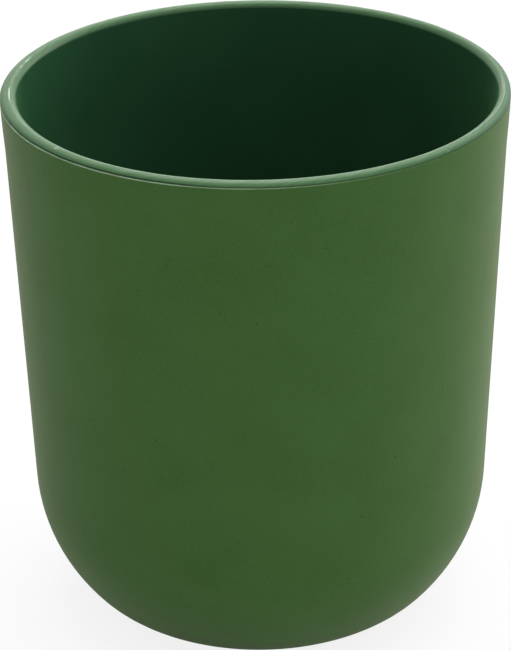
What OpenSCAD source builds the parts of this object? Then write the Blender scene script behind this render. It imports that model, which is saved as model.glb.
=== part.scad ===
// Round two-layer plastic tumbler: a glossy inner cup with a full-round rim,
// inside a matte outer shell that butts up under the rim and stands on a foot ring.
// Millimetres, +Z up, origin at the centre of the face that the cup rests on.

/* [Overall] */
// Outer diameter over the rim
rim_d = 80.4; // [70:0.2:95]
// Height from the resting face to the top of the rim
cup_h = 90; // [75:1:110]
// Lean of the side wall away from vertical, in degrees
draft = 2.35; // [0.5:0.05:4]

/* [Wall] */
// Thickness of the whole wall, and of the rim
wall = 2.15; // [1.8:0.05:3]
// Thickness of the outer shell, the rest of the wall being the inner cup
shell = 1.1; // [0.8:0.05:1.4]

/* [Lip] */
// Lean of the lip, the top stretch of the wall, in degrees
lip_draft = 3.8; // [2:0.1:6]
// Height of the lip below the middle of the rim
lip_h = 8; // [4:1:15]

/* [Bottom curve] */
// Radius of the large arc below the side wall
hip_r = 29; // [26:0.5:31]
// Height of that arc's centre
hip_z = 24.25; // [22:0.25:27]
// Angle below level at which the small arc down to the base takes over
turn = 40; // [32:1:46]

/* [Foot] */
// Height of the foot ring above the recess that it encloses
foot_h = 0.8; // [0.4:0.1:1.2]
// Width of the flat ring that the cup stands on
foot_w = 2.5; // [1.5:0.5:5]
// Diameter of the moulding gate's pad at the middle of the recess
gate_d = 5; // [3:0.5:8]
// Height of that pad
gate_h = 0.3; // [0.1:0.1:0.3]

/* [Joint line] */
// Drop of the joint line below the top of the rim
seam_drop = 0.7; // [0.6:0.05:1.2]
// Depth of the fine groove along the joint line
groove = 0.1; // [0.05:0.05:0.2]

/* [Hidden] */
$fn = 180;
arc_steps = 16;

inner_green = [0.10, 0.26, 0.15];
outer_green = [0.23, 0.35, 0.19];

rim_r = wall / 2;
rim_c = [rim_d / 2 - rim_r, cup_h - rim_r];
lip_c = rim_c - lip_h * [tan(lip_draft), 1];
seam_z = cup_h - seam_drop;
hip_c = [side_r(hip_r, hip_z), hip_z];
foot_in = foot_c(0, 0).x - foot_w;

// Point at an angle on a circle, and the points of an arc after its first
function polar(centre, radius, angle) =
    centre + radius * [cos(angle), sin(angle)];
function arc(centre, radius, from, to) =
    [for (i = [1:arc_steps]) polar(centre, radius, from + (to - from) * i / arc_steps)];

// Radius at height z of a straight stretch of the wall, at a depth below the outer face,
// where the middle of the wall passes through a point and leans at an angle
function lean_r(through, angle, depth, z) =
    through.x + (rim_r - depth) / cos(angle) + (z - through.y) * tan(angle);
function side_r(depth, z) = lean_r(lip_c, draft, depth, z);
function lip_r(depth, z) = lean_r(rim_c, lip_draft, depth, z);

// Point where the lip starts, at a depth below the outer face
function lip_start(depth) =
    polar(lip_c, (rim_r - depth) / cos((lip_draft - draft) / 2), -(lip_draft + draft) / 2);

// Radius and centre of the small arc that is tangent to the large arc and to a floor
function foot_r(depth, floor_z) =
    (hip_z - (hip_r - depth) * sin(turn) - floor_z) / (1 - sin(turn));
function foot_c(depth, floor_z) =
    polar(hip_c, hip_r - depth - foot_r(depth, floor_z), -turn);

// Half outline, from the axis along a floor and up to the lip,
// of the face that lies at a depth below the outer face
function face(depth, floor_z) =
    concat(
        [[0, floor_z], [foot_c(depth, floor_z).x, floor_z]],
        arc(foot_c(depth, floor_z), foot_r(depth, floor_z), -90, -turn),
        arc(hip_c, hip_r - depth, -turn, -draft),
        [lip_start(depth)]
    );

function reverse(points) =
    [for (i = [len(points) - 1:-1:0]) points[i]];

// Recess inside the foot ring, with a sloping side and the gate's pad
module recess_section() {
    polygon([
        [0, -foot_h],
        [foot_in + foot_h, -foot_h],
        [foot_in - foot_h, foot_h],
        [gate_d / 2, foot_h],
        [gate_d / 2, foot_h - gate_h],
        [0, foot_h - gate_h]
    ]);
}

// V-groove along the joint line, cut half into each layer
module groove_section() {
    on_rim = sqrt(pow(rim_r, 2) - pow(seam_z - rim_c.y, 2)) + rim_c.x;
    seam_r = seam_z > rim_c.y ? on_rim : lip_r(0, seam_z);
    translate([seam_r, seam_z])
        rotate(45)
            square(groove * sqrt(2), center = true);
}

// Half section of both layers together, up the outside, over the rim and down the inside
module cup_section() {
    outside = concat(face(0, 0), [polar(rim_c, rim_r, -lip_draft)]);
    rim = arc(rim_c, rim_r, -lip_draft, 180 - lip_draft);
    inside = reverse(face(wall, foot_h + wall));
    difference() {
        polygon(concat(outside, rim, inside));
        recess_section();
        groove_section();
    }
}

// Half section of the space round the inner cup that the outer shell takes up
module shell_zone() {
    difference() {
        square([rim_d, seam_z]);
        polygon(concat(face(shell, foot_h + shell), [[lip_r(shell, cup_h), cup_h], [0, cup_h]]));
    }
}

module inner_cup() {
    color(inner_green)
        rotate_extrude()
            difference() {
                cup_section();
                shell_zone();
            }
}

module outer_shell() {
    color(outer_green)
        rotate_extrude()
            intersection() {
                cup_section();
                shell_zone();
            }
}

inner_cup();
outer_shell();
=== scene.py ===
"""Green two-layer plastic tumbler: its finish, light and camera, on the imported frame, in metres."""
import math
from collections import namedtuple

import bpy
from mathutils import Matrix, Vector, noise


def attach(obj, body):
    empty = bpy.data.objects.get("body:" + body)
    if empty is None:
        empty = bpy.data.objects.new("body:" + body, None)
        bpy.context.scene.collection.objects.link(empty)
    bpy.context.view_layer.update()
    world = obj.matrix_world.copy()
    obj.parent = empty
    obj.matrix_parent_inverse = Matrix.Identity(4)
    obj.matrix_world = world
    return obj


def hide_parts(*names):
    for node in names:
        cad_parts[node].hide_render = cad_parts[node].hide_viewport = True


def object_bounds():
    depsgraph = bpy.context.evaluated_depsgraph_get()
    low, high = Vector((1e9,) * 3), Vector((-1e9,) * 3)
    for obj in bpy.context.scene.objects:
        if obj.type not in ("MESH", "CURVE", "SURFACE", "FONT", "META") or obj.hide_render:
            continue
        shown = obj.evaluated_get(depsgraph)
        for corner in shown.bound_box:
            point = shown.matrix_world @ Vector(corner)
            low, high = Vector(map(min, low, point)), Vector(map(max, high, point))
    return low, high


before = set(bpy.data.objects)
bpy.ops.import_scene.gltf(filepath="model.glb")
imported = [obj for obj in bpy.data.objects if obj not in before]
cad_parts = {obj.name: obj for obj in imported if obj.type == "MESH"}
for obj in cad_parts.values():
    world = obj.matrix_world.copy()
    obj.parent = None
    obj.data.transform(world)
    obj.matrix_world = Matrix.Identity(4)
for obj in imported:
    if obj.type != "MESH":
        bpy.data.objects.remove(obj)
cad_low, cad_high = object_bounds()

MM = 0.001

# Dimensions that the CAD model has too
RIM_R = cad_high.x
CUP_H = cad_high.z
DRAFT = math.radians(2.35)
WALL = 2.15 * MM
SHELL = 1.1 * MM
LIP_DRAFT = math.radians(3.8)
LIP_H = 8 * MM
HIP_R = 29 * MM
HIP_Z = 24.25 * MM
TURN = math.radians(40)
FOOT_H = 0.8 * MM
FOOT_W = 2.5 * MM
GATE_R = 2.5 * MM
GATE_H = 0.3 * MM
SEAM_DROP = 0.7 * MM

TUBE_R = WALL / 2
RIM_C = (RIM_R - TUBE_R, CUP_H - TUBE_R)
LIP_C = (RIM_C[0] - LIP_H * math.tan(LIP_DRAFT), RIM_C[1] - LIP_H)
SEAM_Z = CUP_H - SEAM_DROP

# Mesh density, with finer rows near the joint line and coarser ones where the layers meet
SEGMENTS = 720
ARC_STEPS = 14
HIDDEN_ARC_STEPS = 6
RIM_STEPS = 48
FINE_STEPS = 7
FINE_TURN = math.radians(14)
EASE_STEPS = 4
WALL_STEP = 4 * MM
HIDDEN_STEP = 15 * MM
SEAM_STEP = 0.05 * MM
SEAM_BAND = 0.9 * MM

# Reach of the curve on the base's edges, least distance between points, and angle of a sharp edge
EDGE_EASE = 0.14 * MM
SAME_POINT = 1e-7
SHARP_ANGLE = math.radians(50)

# Hair gap that keeps the layers' hidden faces apart
HIDDEN_GAP = 0.01 * MM

# Groove at the joint line and the ridge along the shell's top edge: the side where each is strongest,
# the turns from there at which it starts and ends to fade, and what is left of it beyond them
GROOVE_DEPTH = 0.42 * MM
GROOVE_HALF_W = 0.18 * MM
GROOVE_SIDE = math.radians(214)
GROOVE_SPAN = (math.radians(28), math.radians(52))
RIDGE_H = 0.095 * MM
RIDGE_HALF_W = 0.11 * MM
RIDGE_DROP = 0.22 * MM
RIDGE_SIDE = math.radians(238)
RIDGE_SPAN = (math.radians(50), math.radians(76))
SEAM_FAINT = 0.12

# Uneven height of the ridge: its mean, its swing, and the length and seed of its noise
RIDGE_MEAN = 0.85
RIDGE_SWING = 0.3
RIDGE_PATCH = 5 * MM
RIDGE_SEED = 3.7

# Shallow dish in the shell below the joint line
DISH_DEPTH = 0.09 * MM
DISH_REACH = 2 * MM

# Waves of the rim, which slant a little as they pass over it
WAVE_H = 0.012 * MM
WAVE_LENGTH = 4 * MM
WAVE_SLANT = 1 / 40
WAVE_SEED = 1.3

# Thicker side of the rim, on the cup's left, which bulges inwards and fades down the wall
THICK_EXTRA = 0.6 * MM
THICK_SIDE = math.radians(182)
THICK_HALF_SPAN = math.radians(45)
THICK_FADE = 15 * MM

# Dents in the rim and polished flats on it: angle round the cup and round the rim's tube, in degrees,
# half-lengths along the rim and over it, and for a dent its depth and how far it is scuffed pale
Nick = namedtuple("Nick", "around over length width depth scuff")
RIM_NICKS = (
    Nick(220.2, 88, 0.35 * MM, 0.45 * MM, 0.12 * MM, 0.55),
    Nick(66.2, 118, 0.18 * MM, 0.80 * MM, 0.10 * MM, 0.0),
    Nick(315.6, 43, 0.22 * MM, 0.25 * MM, 0.06 * MM, 0.25),
)
Flat = namedtuple("Flat", "around over length width")
RIM_FLATS = (
    Flat(161.6, 103, 0.8 * MM, 0.13 * MM),
    Flat(166.1, 103, 0.5 * MM, 0.13 * MM),
    Flat(184.2, 97, 1.9 * MM, 0.10 * MM),
    Flat(345.0, 90, 8.0 * MM, 0.10 * MM),
)

# Colours of the inner plastic: two shades of its body and of its rim, then a painted highlight on the
# rim's crown and scuffed spots
DEEP_GREEN = ((0.0185, 0.068, 0.0305), (0.0215, 0.077, 0.034))
RIM_GREEN = ((0.057, 0.143, 0.052), (0.088, 0.187, 0.079))
CROWN_HIGHLIGHT_GREEN = (0.155, 0.252, 0.15)
SCUFF_GREEN = (0.36, 0.46, 0.36)
DEEP_CLOUD = 14 * MM
DEEP_CONTRAST = (0.35, 0.65)

# Depths below the rim's top between which its pale colour, the painted highlight on its crown and the
# polish of its flats set in
PALE_DEPTHS = (1.15 * MM, 0.2 * MM)
CROWN_DEPTHS = (0.32 * MM, 0.06 * MM)
POLISH_DEPTHS = (0.10 * MM, 0.05 * MM)

# Rim colours that change from the front and back, the first value, to the left and right: painted shade
# that dims the pale rim colour at the left and right and keeps it higher up the outer flank there, and
# the share of the painted highlight on the crown
SIDE_SHADE_LIFT = (0.1, -0.4)
SIDE_SHADE_SHARE = (1.0, 0.72)
CROWN_HIGHLIGHT_SHARE = (0.9, 0.07)

# Finishing marks on the rim: their size, and their turn round the cup in radians a metre outwards
MARK_SIZE = 1.3 * MM
MARK_SLANT = 90.0
MARK_DETAIL = 3.0
MARK_ROUGHNESS = 0.6
MARK_CONTRAST = (0.35, 0.7)
MARK_H = 0.007 * MM

# Painted highlight in streaks on the rim's crown, and the reach of a dent's scuff as shares of its
# half-length
CROWN_HIGHLIGHT_CONTRAST = (0.3, 0.7)
CROWN_HIGHLIGHT_STRENGTH = (0.35, 1.15)
SCUFF_REACH = (0.4, 1.3)

# Gloss of the inner plastic: from wall to rim, and what the rim's outer flank and its marks add
INNER_ROUGHNESS = (0.20, 0.33)
FLANK_REACH = (0.3 * MM, 0.9 * MM)
FLANK_DULLNESS = 0.25
MARK_DULLNESS = 0.06
FLAT_POLISH = 0.75
INNER_RIPPLE = 0.9 * MM
INNER_RIPPLE_H = 0.0005 * MM
INNER_SHADER = {
    "IOR": 1.5,
    "Specular IOR Level": 0.25,
    "Sheen Weight": 0.07,
    "Sheen Roughness": 0.4,
    "Sheen Tint": (0.4, 1.0, 0.45, 1.0),
}

# Colours of the outer plastic: two shades of its body, then its grain, specks and a painted highlight
# along the ridge's crest
MOSS_GREEN = ((0.0400, 0.0995, 0.0245), (0.0465, 0.1115, 0.030))
GRAIN_GREEN = (0.055, 0.128, 0.035)
SPECK_GREEN = (0.012, 0.032, 0.007)
CREST_HIGHLIGHT_GREEN = (0.30, 0.42, 0.28)

# Clouding, swell and grain of the outer plastic
MOSS_CLOUD = 10 * MM
MOSS_DETAIL = 3.0
MOSS_CONTRAST = (0.3, 0.7)
SWELL = 2.5 * MM
SWELL_H = 0.01 * MM
GRAIN = 0.32 * MM
GRAIN_H = 0.012 * MM
GRAIN_CONTRAST = (0.35, 0.75)
GRAIN_SHARE = 0.65

# Specks: one in each cell, its size as a share of the cell, and the cells that are picked
SPECK_CELL = 2.6 * MM
SPECK_REACH = (0.04, 0.10)
SPECK_PICK = (0.5, 0.95)
SPECK_SHARE = 0.6

# Painted highlight along the ridge's crest, from below it to above it and from the right to the left
CREST_BELOW = (-0.10 * MM, 0.0)
CREST_ABOVE = (0.11 * MM, 0.03 * MM)
CREST_SIDES = (28 * MM, -14 * MM)
CREST_SHARE = (0.08, 0.85)
PATCH_CONTRAST = (0.35, 0.65)
PATCH_SHARE = (0.65, 1.15)

# Gloss of the outer plastic, which changes with its grain
OUTER_GLOSS_CONTRAST = (0.3, 0.7)
OUTER_ROUGHNESS = (0.46, 0.56)
OUTER_SHADER = {
    "IOR": 1.5,
    "Specular IOR Level": 0.0,
    "Sheen Weight": 0.22,
    "Sheen Roughness": 0.45,
    "Sheen Tint": (1.0, 0.95, 0.82, 1.0),
}

# The photograph's view
IMAGE_H = 650
FOCAL_PX = 2936.4
SENSOR = 36.0
CLIP_START = 0.01
CAMERA_DISTANCE = 0.480
CAMERA_ELEVATION = math.radians(25.71)
CAMERA_ROLL = math.radians(-0.848)
CAMERA_TARGET = Vector((-0.0005, 0.0, 0.04787))

# A sky that brightens overhead and towards the right and the back
WHITE = (1.0, 1.0, 1.0, 1.0)
SKY_LEVEL = 0.5
SKY_SLOPE = (0.44, 0.40, 0.72)
SKY_LEAST = 0.18

# Square lamps aimed at the cup: azimuth from the right towards the back and elevation, in degrees,
# length of a side, and radiance. The small ones are mirrored by the polished flats.
Lamp = namedtuple("Lamp", "name azimuth elevation side radiance")
LAMP_DISTANCE = 0.9
LAMPS = (
    Lamp("overhead", 90, 82, 0.6, 3.1),
    Lamp("window_right", 34, 26, 0.7, 1.3),
    Lamp("window_back", 90, 7, 0.22, 0.8),
    Lamp("glint_left", 92.5, 23.4, 0.07, 4.0),
    Lamp("glint_back_left", 86.2, 30.0, 0.07, 9.0),
    Lamp("glint_right", 82.0, 23.8, 0.07, 2.0),
)

# White floor, a hair below the cup
FLOOR_TINT = (0.88, 0.88, 0.88, 1.0)
FLOOR_GLOW = 0.85
FLOOR_HALF = 3.0
FLOOR_DROP = 0.05 * MM


def lean_r(through, angle, depth, z):
    """Radius at height z of a straight stretch of the wall, at a depth below the outer face."""
    return through[0] + (TUBE_R - depth) / math.cos(angle) + (z - through[1]) * math.tan(angle)


def side_r(depth, z):
    return lean_r(LIP_C, DRAFT, depth, z)


def lip_r(depth, z):
    return lean_r(RIM_C, LIP_DRAFT, depth, z)


HIP_C = (side_r(HIP_R, HIP_Z), HIP_Z)


def polar(centre, radius, angle):
    return (centre[0] + radius * math.cos(angle), centre[1] + radius * math.sin(angle))


def arc(centre, radius, start, end, steps):
    return [polar(centre, radius, start + (end - start) * i / steps) for i in range(steps + 1)]


def line(start, end, step):
    """Evenly spaced points from start to end, about a step apart."""
    count = max(1, round(math.dist(start, end) / step))
    return [
        (start[0] + (end[0] - start[0]) * i / count, start[1] + (end[1] - start[1]) * i / count)
        for i in range(count + 1)
    ]


def eased(points, reach):
    """The same chain of points with each inner corner turned into a small curve."""
    chain = [Vector(p) for p in points]
    smooth = [chain[0]]
    for before, corner, after in zip(chain, chain[1:], chain[2:]):
        start = corner + (before - corner).normalized() * reach
        end = corner + (after - corner).normalized() * reach
        for i in range(EASE_STEPS + 1):
            t = i / EASE_STEPS
            smooth.append(start.lerp(corner, t).lerp(corner.lerp(end, t), t))
    smooth.append(chain[-1])
    return [tuple(p) for p in smooth]


def wall_line(depth, start, top_z, step):
    """Points up a face of the wall from a start: along the side, and then along the lip."""
    lip_start = (side_r(depth, LIP_C[1]), LIP_C[1])
    return line(start, lip_start, step) + line(lip_start, (lip_r(depth, top_z), top_z), step)


def stretch(points, relief):
    """Part of a profile: each of its points with its normal and a relief."""
    rows = []
    for i, point in enumerate(points):
        before, after = points[max(i - 1, 0)], points[min(i + 1, len(points) - 1)]
        along = (Vector(after) - Vector(before)).normalized()
        rows.append((Vector(point), Vector((along.y, -along.x)), relief))
    return rows


def distinct(points):
    """The chain without points that repeat the one before."""
    return [p for i, p in enumerate(points) if i == 0 or math.dist(p, points[i - 1]) > SAME_POINT]


def bottom_curve(depth, floor_z, steps):
    """Small and large arc from a floor up to the straight side, and the floor's flat radius."""
    hip = HIP_R - depth
    foot = (HIP_Z - hip * math.sin(TURN) - floor_z) / (1 - math.sin(TURN))
    foot_c = polar(HIP_C, hip - foot, -TURN)
    curve = arc(foot_c, foot, -math.pi / 2, -TURN, steps) + arc(HIP_C, hip, -TURN, -DRAFT, steps)
    return curve, foot_c[0]


def layer_face(depth, top_z, step, arc_steps):
    """A layer's face from the axis along its floor and up its side to a height."""
    floor_z = FOOT_H + depth
    curve, flat_r = bottom_curve(depth, floor_z, arc_steps)
    floor = line((0.0, floor_z), (flat_r, floor_z), step)
    return distinct(floor + curve + wall_line(depth, curve[-1], top_z, step))


def seam_radius(z):
    """Outer radius of the cup near the joint line, where the wall runs into the rim."""
    if z > RIM_C[1]:
        return RIM_C[0] + math.sqrt(TUBE_R**2 - (z - RIM_C[1]) ** 2)
    return lip_r(0, z)


def inner_cup_rows():
    """Up the inside, over the rim to the joint line, and down the face that meets the shell."""
    rim_start = math.pi - LIP_DRAFT
    inside = layer_face(WALL, polar(RIM_C, TUBE_R, rim_start)[1], WALL_STEP, ARC_STEPS)
    seam_angle = math.asin((SEAM_Z - RIM_C[1]) / TUBE_R)
    fine_angle = seam_angle + FINE_TURN
    over = arc(RIM_C, TUBE_R, rim_start, fine_angle, RIM_STEPS)
    rim = distinct(over + arc(RIM_C, TUBE_R, fine_angle, seam_angle, FINE_STEPS))
    meeting = layer_face(SHELL + HIDDEN_GAP, SEAM_Z, HIDDEN_STEP, HIDDEN_ARC_STEPS)[::-1]
    return stretch(inside[:-1], inside_relief) + stretch(rim, rim_relief) + stretch(meeting, no_relief)


def outer_shell_rows():
    """From the gate's pad out to the foot ring, up the outside, and down the meeting face."""
    curve, flat_r = bottom_curve(0, 0, ARC_STEPS)
    foot_in = flat_r - FOOT_W
    pad_z = FOOT_H - GATE_H
    base = [
        (0, pad_z),
        (GATE_R, pad_z),
        (GATE_R, FOOT_H),
        (foot_in - FOOT_H, FOOT_H),
        (foot_in, 0),
        (flat_r, 0),
    ]
    band_z = SEAM_Z - SEAM_BAND
    top_z = SEAM_Z - HIDDEN_GAP
    side = wall_line(0, curve[-1], band_z, WALL_STEP)
    band = [(seam_radius(z), z) for _, z in line((0, band_z), (0, top_z), SEAM_STEP)]
    outside = distinct(eased(base, EDGE_EASE) + curve + side + band)
    meeting = layer_face(SHELL, top_z, HIDDEN_STEP, HIDDEN_ARC_STEPS)[::-1]
    return stretch(outside, shell_relief) + stretch(meeting, no_relief)


def ripple(angle, radius, length, seed):
    """Smooth noise round the cup, from about -1 to 1, with no break where the turn closes."""
    where = Vector((math.cos(angle), math.sin(angle), 0)) * (radius / length)
    return 2 * noise.noise(where + Vector((0, 0, seed)))


def bell(distance, half_width):
    return math.exp(-((distance / half_width) ** 2))


def smooth_step(value):
    t = min(max(value, 0.0), 1.0)
    return t * t * (3 - 2 * t)


def turn_between(angle, other):
    """Signed angle from another angle, the short way round."""
    return (angle - other + math.pi) % (2 * math.pi) - math.pi


def strength(angle, side, span):
    """How strongly the joint line shows: fully near a side, and faintly elsewhere."""
    near, far = span
    away = (abs(turn_between(angle, side)) - near) / (far - near)
    return 1 - (1 - SEAM_FAINT) * smooth_step(away)


def groove_at(angle, height):
    """Depth of the groove by height above the joint line."""
    depth = GROOVE_DEPTH * strength(angle, GROOVE_SIDE, GROOVE_SPAN)
    return depth * max(0.0, 1 - abs(height) / GROOVE_HALF_W)


def rim_offset(angle, tube_angle, spot):
    """Distances along the rim and over it from a dent or a flat."""
    along = turn_between(angle, math.radians(spot.around)) * RIM_R
    across = (tube_angle - math.radians(spot.over)) * TUBE_R
    return along, across


def no_relief(angle, point, normal):
    return Vector((0.0, 0.0))


def inside_relief(angle, point, normal):
    """On the thicker side the rim is stretched inwards, and the wall below it follows."""
    thicker = THICK_EXTRA * bell(turn_between(angle, THICK_SIDE), THICK_HALF_SPAN)
    across = min(max((RIM_R - point.x) / WALL, 0.0), 1.0)
    fade = smooth_step(1 - (RIM_C[1] - point.y) / THICK_FADE)
    return Vector((-thicker * across * fade, 0.0))


def rim_relief(angle, point, normal):
    """Groove, thicker side, waviness, dents and flats of the rim."""
    r, z = point
    tube_angle = math.atan2(z - RIM_C[1], r - RIM_C[0]) % (2 * math.pi)
    wave = ripple(angle + tube_angle * WAVE_SLANT, RIM_R, WAVE_LENGTH, WAVE_SEED) - 1
    relief = min(WAVE_H * wave * math.sin(tube_angle), 0.0)
    if r > RIM_C[0]:
        relief -= groove_at(angle, z - SEAM_Z)
    for nick in RIM_NICKS:
        along, across = rim_offset(angle, tube_angle, nick)
        relief -= nick.depth * bell(along, nick.length) * bell(across, nick.width)
    for flat in RIM_FLATS:
        along, across = rim_offset(angle, tube_angle, flat)
        sagitta = max(0.0, flat.width**2 - across**2) / (2 * TUBE_R)
        relief -= sagitta * bell(along, flat.length)
    return normal * relief + inside_relief(angle, point, normal)


def shell_relief(angle, point, normal):
    """Groove at the joint line, and the ridge and the dish below it."""
    height = point.y - SEAM_Z
    dish = DISH_DEPTH * max(0.0, 1 + height / DISH_REACH)
    uneven = RIDGE_MEAN + RIDGE_SWING * ripple(angle, RIM_R, RIDGE_PATCH, RIDGE_SEED)
    crest = RIDGE_H * strength(angle, RIDGE_SIDE, RIDGE_SPAN) * uneven
    ridge = crest * bell(height + RIDGE_DROP, RIDGE_HALF_W)
    return normal * (min(ridge - dish, 0.0) - groove_at(angle, height))


def lathe(name, rows, outward):
    """Closed body of revolution about Z from rows of points, normals and reliefs."""
    verts, rings = [], []
    for point, normal, relief in rows:
        if point.x < SAME_POINT:
            rings.append([len(verts)])
            verts.append((0.0, 0.0, point.y))
            continue
        rings.append(range(len(verts), len(verts) + SEGMENTS))
        for i in range(SEGMENTS):
            angle = 2 * math.pi * i / SEGMENTS
            moved = point + relief(angle, point, normal * outward)
            verts.append((moved.x * math.cos(angle), moved.x * math.sin(angle), moved.y))
    faces = []
    for low, high in zip(rings, rings[1:]):
        for i in range(SEGMENTS):
            j = (i + 1) % SEGMENTS
            corners = [low[i % len(low)], low[j % len(low)], high[j % len(high)], high[i % len(high)]]
            face = list(dict.fromkeys(corners))
            faces.append(face if outward > 0 else face[::-1])
    mesh = bpy.data.meshes.new(name)
    mesh.from_pydata(verts, [], faces)
    mesh.shade_smooth()
    mesh.set_sharp_from_angle(angle=SHARP_ANGLE)
    piece = bpy.data.objects.new(name, mesh)
    bpy.context.scene.collection.objects.link(piece)
    return piece


def add(tree, kind, inputs=None, **settings):
    """A node with its settings, and its inputs set to values or linked to sockets."""
    made = tree.nodes.new(kind)
    for key, value in settings.items():
        setattr(made, key, value)
    for key, value in (inputs or {}).items():
        if isinstance(value, bpy.types.NodeSocket):
            tree.links.new(value, made.inputs[key])
        else:
            made.inputs[key].default_value = value
    return made


def new_material(name):
    material = bpy.data.materials.new(name)
    material.use_nodes = True
    tree = material.node_tree
    tree.nodes.clear()
    return material, tree


def place_on(tree):
    """Position on the object."""
    return add(tree, "ShaderNodeTexCoord").outputs["Object"]


def noise_of(tree, where, size, detail=2.0, roughness=0.5):
    """Noise whose features are about a size across."""
    made = add(
        tree,
        "ShaderNodeTexNoise",
        {"Vector": where, "Scale": 1 / size, "Detail": detail, "Roughness": roughness},
    )
    return made.outputs["Fac"]


def ranged(tree, value, source, target=(0.0, 1.0), smooth=False):
    """A value mapped from a source range to a target range, and held at its ends."""
    ends = {"From Min": source[0], "From Max": source[1], "To Min": target[0], "To Max": target[1]}
    interpolation = "SMOOTHSTEP" if smooth else "LINEAR"
    made = add(tree, "ShaderNodeMapRange", {"Value": value} | ends, interpolation_type=interpolation)
    return made.outputs["Result"]


def below_top(tree, height, depths, smooth=False):
    """0 to 1 between two depths below the rim's top."""
    return ranged(tree, height, (CUP_H - depths[0], CUP_H - depths[1]), smooth=smooth)


def math_of(tree, operation, a, b=0.0):
    return add(tree, "ShaderNodeMath", {0: a, 1: b}, operation=operation).outputs["Value"]


def product(tree, first, *others):
    """Product of values, each a socket or a constant."""
    result = first
    for other in others:
        result = math_of(tree, "MULTIPLY", result, other)
    return result


def total(tree, first, *others):
    """Sum of values, each a socket or a constant."""
    result = first
    for other in others:
        result = math_of(tree, "ADD", result, other)
    return result


def vector_of(tree, operation, inputs, output="Vector"):
    """Result of an operation on vectors: a vector, or with the output "Value" a number."""
    return add(tree, "ShaderNodeVectorMath", inputs, operation=operation).outputs[output]


def distance_of(tree, a, b):
    return vector_of(tree, "DISTANCE", {0: a, 1: b}, "Value")


def mixed(tree, factor, first, second):
    """Blend of two colours, each a socket or a constant."""
    made = add(tree, "ShaderNodeMix", {"Factor": factor}, data_type="RGBA")
    for key, colour in (("A", first), ("B", second)):
        socket = next(s for s in made.inputs if s.name == key and s.type == "RGBA")
        if isinstance(colour, bpy.types.NodeSocket):
            tree.links.new(colour, socket)
        else:
            socket.default_value = (*colour, 1.0)
    return next(s for s in made.outputs if s.type == "RGBA")


def bumped(tree, height, distance, below=None):
    """Bump of a height from 0 to 1 over a distance, on top of another one if there is one below."""
    inputs = {"Height": height, "Distance": distance, "Strength": 1.0}
    if below is not None:
        inputs["Normal"] = below
    return add(tree, "ShaderNodeBump", inputs).outputs["Normal"]


def finish_surface(tree, inputs):
    shader = add(tree, "ShaderNodeBsdfPrincipled", inputs)
    add(tree, "ShaderNodeOutputMaterial", {"Surface": shader.outputs["BSDF"]})


RimSockets = namedtuple("RimSockets", "place height ring side outwards streaks share marks")


def rim_sockets(tree):
    """Where a point of the inner plastic lies on the rim, and the rim's finishing marks there."""
    place = place_on(tree)
    axes = add(tree, "ShaderNodeSeparateXYZ", {0: place}).outputs
    level = vector_of(tree, "MULTIPLY", {0: place, 1: (1, 1, 0)})
    radius = vector_of(tree, "LENGTH", {0: level}, "Value")
    unit = vector_of(tree, "NORMALIZE", {0: level})
    ring = vector_of(tree, "SCALE", {0: unit, "Scale": RIM_R})
    across = math_of(tree, "DIVIDE", axes["X"], RIM_R)
    side = product(tree, across, across)
    outwards = math_of(tree, "MAXIMUM", math_of(tree, "SUBTRACT", radius, RIM_C[0]), 0.0)
    # Painted shade: at the left and right the pale rim colour is dimmer and keeps higher up the outer
    # flank
    lift = product(tree, outwards, ranged(tree, side, (0, 1), SIDE_SHADE_LIFT))
    pale = below_top(tree, total(tree, axes["Z"], lift), PALE_DEPTHS, smooth=True)
    share = product(tree, pale, ranged(tree, side, (0, 1), SIDE_SHADE_SHARE))
    slanted = {"Vector": ring, "Angle": product(tree, radius, MARK_SLANT)}
    turned = add(tree, "ShaderNodeVectorRotate", slanted, rotation_type="Z_AXIS")
    streaks = noise_of(tree, turned.outputs["Vector"], MARK_SIZE, MARK_DETAIL, MARK_ROUGHNESS)
    marks = product(tree, ranged(tree, streaks, MARK_CONTRAST), share)
    return RimSockets(place, axes["Z"], ring, side, outwards, streaks, share, marks)


def inner_colour(tree, rim):
    """Deep green, paler on the rim with painted shade at its left and right, a painted highlight in
    streaks on its crown, and scuffed at its dents.
    """
    cloud = ranged(tree, noise_of(tree, rim.place, DEEP_CLOUD), DEEP_CONTRAST)
    body = mixed(tree, cloud, *DEEP_GREEN)
    colour = mixed(tree, rim.share, body, mixed(tree, rim.marks, *RIM_GREEN))
    # Painted highlight in streaks on the rim's crown, strongest at the front and back
    crown = below_top(tree, rim.height, CROWN_DEPTHS, smooth=True)
    highlight_streaks = ranged(tree, rim.streaks, CROWN_HIGHLIGHT_CONTRAST, CROWN_HIGHLIGHT_STRENGTH)
    crown_highlight = product(tree, highlight_streaks, crown, ranged(tree, rim.side, (0, 1), CROWN_HIGHLIGHT_SHARE))
    colour = mixed(tree, crown_highlight, colour, CROWN_HIGHLIGHT_GREEN)
    for nick in RIM_NICKS:
        r, z = polar(RIM_C, TUBE_R, math.radians(nick.over))
        middle = (*polar((0, 0), r, math.radians(nick.around)), z)
        ends = [nick.length * reach for reach in SCUFF_REACH]
        apart = distance_of(tree, rim.place, middle)
        scuffed = ranged(tree, apart, ends, (nick.scuff, 0.0), smooth=True)
        colour = mixed(tree, scuffed, colour, SCUFF_GREEN)
    return colour


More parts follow.
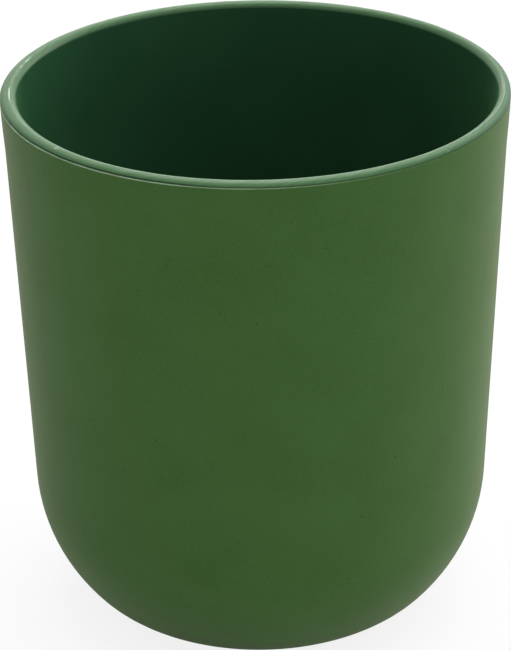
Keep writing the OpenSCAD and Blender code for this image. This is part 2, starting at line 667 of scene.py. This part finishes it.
def inner_roughness(tree, rim):
    """Glossy wall, a duller rim with a matte outer flank, and polished flats."""
    gloss = ranged(tree, rim.share, (0, 1), INNER_ROUGHNESS)
    flank = ranged(tree, rim.outwards, FLANK_REACH, (0.0, FLANK_DULLNESS), smooth=True)
    roughness = total(tree, gloss, flank, product(tree, rim.marks, MARK_DULLNESS))
    on_top = below_top(tree, rim.height, POLISH_DEPTHS)
    for flat in RIM_FLATS:
        middle = (*polar((0, 0), RIM_R, math.radians(flat.around)), 0)
        apart = distance_of(tree, rim.ring, middle)
        near = ranged(tree, apart, (flat.length, 2 * flat.length), (FLAT_POLISH, 0.0))
        kept = math_of(tree, "SUBTRACT", 1.0, product(tree, near, on_top))
        roughness = product(tree, roughness, kept)
    return roughness


def inner_plastic():
    """Polished deep green, paler and with slanting finishing marks over the rim."""
    material, tree = new_material("inner_plastic")
    rim = rim_sockets(tree)
    fine = bumped(tree, noise_of(tree, rim.place, INNER_RIPPLE), INNER_RIPPLE_H)
    surface = {
        "Base Color": inner_colour(tree, rim),
        "Roughness": inner_roughness(tree, rim),
        "Normal": bumped(tree, product(tree, rim.streaks, rim.share), MARK_H, fine),
    }
    finish_surface(tree, surface | INNER_SHADER)
    return material


def specked(tree, place, colour):
    """A colour with a dark speck in some cells."""
    cells = add(tree, "ShaderNodeTexVoronoi", {"Vector": place, "Scale": 1 / SPECK_CELL}).outputs
    near = ranged(tree, cells["Distance"], SPECK_REACH, (1.0, 0.0), smooth=True)
    draw = add(tree, "ShaderNodeSeparateColor", {0: cells["Color"]}).outputs[0]
    speck = product(tree, near, ranged(tree, draw, SPECK_PICK), SPECK_SHARE)
    return mixed(tree, speck, colour, SPECK_GREEN)


def crest_highlight(tree, place, swell):
    """How strongly the ridge along the joint line gets a painted highlight, in patches and mostly on the
    left.
    """
    axes = add(tree, "ShaderNodeSeparateXYZ", {0: place}).outputs
    height = math_of(tree, "SUBTRACT", axes["Z"], SEAM_Z - RIDGE_DROP)
    on_crest = product(tree, ranged(tree, height, CREST_BELOW), ranged(tree, height, CREST_ABOVE))
    on_left = ranged(tree, axes["X"], CREST_SIDES, CREST_SHARE, smooth=True)
    return product(tree, on_crest, on_left, ranged(tree, swell, PATCH_CONTRAST, PATCH_SHARE))


def outer_plastic():
    """Matte moss green with a fine moulded grain, faint clouding and a few dark specks."""
    material, tree = new_material("outer_plastic")
    place = place_on(tree)
    cloud = ranged(tree, noise_of(tree, place, MOSS_CLOUD, MOSS_DETAIL), MOSS_CONTRAST)
    grain = noise_of(tree, place, GRAIN)
    swell = noise_of(tree, place, SWELL)
    grainy = ranged(tree, grain, GRAIN_CONTRAST, (0.0, GRAIN_SHARE))
    colour = mixed(tree, grainy, mixed(tree, cloud, *MOSS_GREEN), GRAIN_GREEN)
    colour = specked(tree, place, colour)
    surface = {
        # Painted highlight along the ridge's crest, in patches and mostly on the left
        "Base Color": mixed(tree, crest_highlight(tree, place, swell), colour, CREST_HIGHLIGHT_GREEN),
        "Roughness": ranged(tree, grain, OUTER_GLOSS_CONTRAST, OUTER_ROUGHNESS),
        "Normal": bumped(tree, grain, GRAIN_H, bumped(tree, swell, SWELL_H)),
    }
    finish_surface(tree, surface | OUTER_SHADER)
    return material


def seen_rays(tree):
    """1 for rays that show a surface to the camera, directly or in a reflection, and 0 for others."""
    path = add(tree, "ShaderNodeLightPath").outputs
    seen = math_of(tree, "MAXIMUM", path["Is Camera Ray"], path["Is Glossy Ray"])
    return math_of(tree, "MAXIMUM", seen, path["Is Transmission Ray"])


def floor_material():
    """White floor on which the cup's shadow shows faintly."""
    material, tree = new_material("floor_white")
    shade = add(tree, "ShaderNodeBsdfDiffuse", {"Color": FLOOR_TINT})
    glow = add(tree, "ShaderNodeEmission", {"Color": WHITE, "Strength": 1.0})
    share = product(tree, seen_rays(tree), FLOOR_GLOW)
    both = add(tree, "ShaderNodeMixShader", {0: share, 1: shade.outputs[0], 2: glow.outputs[0]})
    add(tree, "ShaderNodeOutputMaterial", {"Surface": both.outputs["Shader"]})
    return material


def dress(piece, material, node):
    piece.data.materials.append(material)
    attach(piece, "root")
    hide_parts(node)


def make_floor():
    half = FLOOR_HALF
    mesh = bpy.data.meshes.new("floor")
    corners = [(-half, -half, 0), (half, -half, 0), (half, half, 0), (-half, half, 0)]
    mesh.from_pydata(corners, [], [(0, 1, 2, 3)])
    mesh.materials.append(floor_material())
    floor = bpy.data.objects.new("floor", mesh)
    floor.location.z = -FLOOR_DROP
    bpy.context.scene.collection.objects.link(floor)


def make_world():
    """Soft sky that lights the cup, and plain white where it is seen."""
    world = bpy.data.worlds.new("studio")
    world.use_nodes = True
    tree = world.node_tree
    tree.nodes.clear()
    towards = add(tree, "ShaderNodeTexCoord").outputs["Generated"]
    rise = vector_of(tree, "DOT_PRODUCT", {0: towards, 1: SKY_SLOPE}, "Value")
    bright = math_of(tree, "MAXIMUM", total(tree, rise, SKY_LEVEL), SKY_LEAST)
    sky = add(tree, "ShaderNodeBackground", {"Color": WHITE, "Strength": bright})
    plain = add(tree, "ShaderNodeBackground", {"Color": WHITE, "Strength": 1.0})
    both = add(tree, "ShaderNodeMixShader", {0: seen_rays(tree), 1: sky.outputs[0], 2: plain.outputs[0]})
    add(tree, "ShaderNodeOutputWorld", {"Surface": both.outputs["Shader"]})
    bpy.context.scene.world = world


def softbox(lamp):
    """White square area lamp aimed at the cup."""
    data = bpy.data.lights.new(lamp.name, "AREA")
    data.shape = "SQUARE"
    data.size = lamp.side
    data.energy = lamp.radiance * math.pi * lamp.side**2
    a, e = math.radians(lamp.azimuth), math.radians(lamp.elevation)
    away = Vector((math.cos(a) * math.cos(e), math.sin(a) * math.cos(e), math.sin(e)))
    light = bpy.data.objects.new(lamp.name, data)
    light.location = Vector((0, 0, CUP_H / 2)) + away * LAMP_DISTANCE
    light.rotation_euler = away.to_track_quat("Z", "Y").to_euler()
    bpy.context.scene.collection.objects.link(light)


def make_camera():
    data = bpy.data.cameras.new("camera")
    data.sensor_width = SENSOR
    data.lens = FOCAL_PX * SENSOR / IMAGE_H
    data.clip_start = CLIP_START
    camera = bpy.data.objects.new("camera", data)
    back = Vector((0, -math.cos(CAMERA_ELEVATION), math.sin(CAMERA_ELEVATION)))
    tilt = Matrix.Rotation(math.pi / 2 - CAMERA_ELEVATION, 4, "X")
    roll = Matrix.Rotation(CAMERA_ROLL, 4, "Z")
    camera.matrix_world = Matrix.Translation(CAMERA_TARGET + back * CAMERA_DISTANCE) @ tilt @ roll
    bpy.context.scene.collection.objects.link(camera)
    bpy.context.scene.camera = camera


inner = lathe("inner_cup_finish", inner_cup_rows(), -1)
dress(inner, inner_plastic(), "inner_cup")
outer = lathe("outer_shell_finish", outer_shell_rows(), 1)
dress(outer, outer_plastic(), "outer_shell")

make_floor()
make_world()
for lamp in LAMPS:
    softbox(lamp)
make_camera()
bpy.context.scene.view_settings.view_transform = "Standard"
